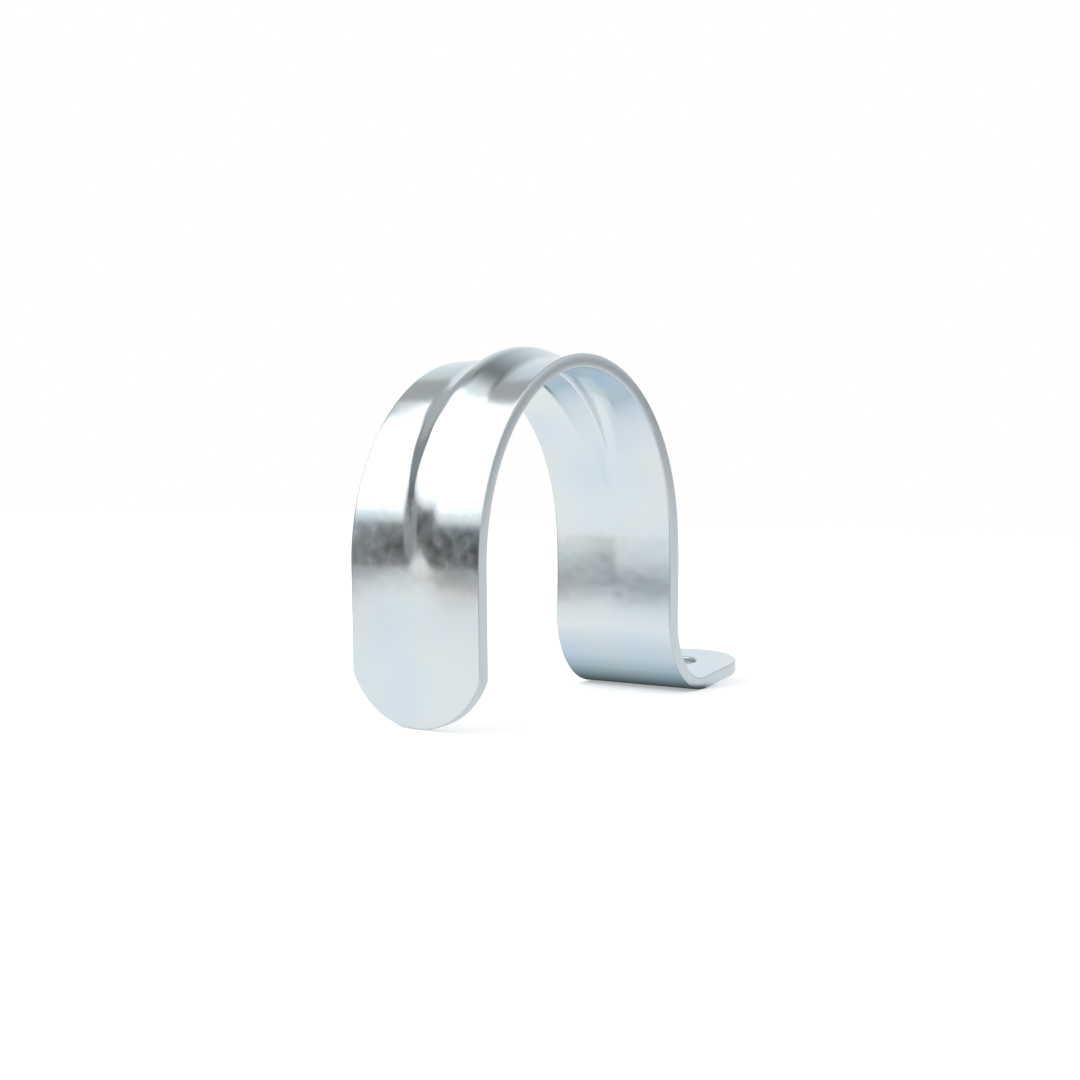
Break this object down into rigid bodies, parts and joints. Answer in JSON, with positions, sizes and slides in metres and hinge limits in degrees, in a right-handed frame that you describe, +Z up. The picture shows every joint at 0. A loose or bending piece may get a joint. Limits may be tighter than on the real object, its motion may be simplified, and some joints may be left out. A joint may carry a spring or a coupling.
{
  "type": "one-ear clamp",
  "caption": "Zinc-plated steel pipe clamp: a strip arched over the pipe with a pressed stiffening bead, a free leg with a rounded tip and a screw ear on the other side.",
  "frame": {"origin": "on the pipe's axis, at the middle of the strip's width", "axes": "+Y along the pipe, +Z up from the wall to the top of the arch, +X towards the ear"},
  "size_m": [0.0664, 0.016, 0.0422],
  "materials": {
    "zinc_plated_steel": "bright zinc plating with a pale blue passivation over a rolled strip"
  },
  "bodies": {
    "root": {"clamp_strap": "zinc_plated_steel"}
  },
  "joints": []
}
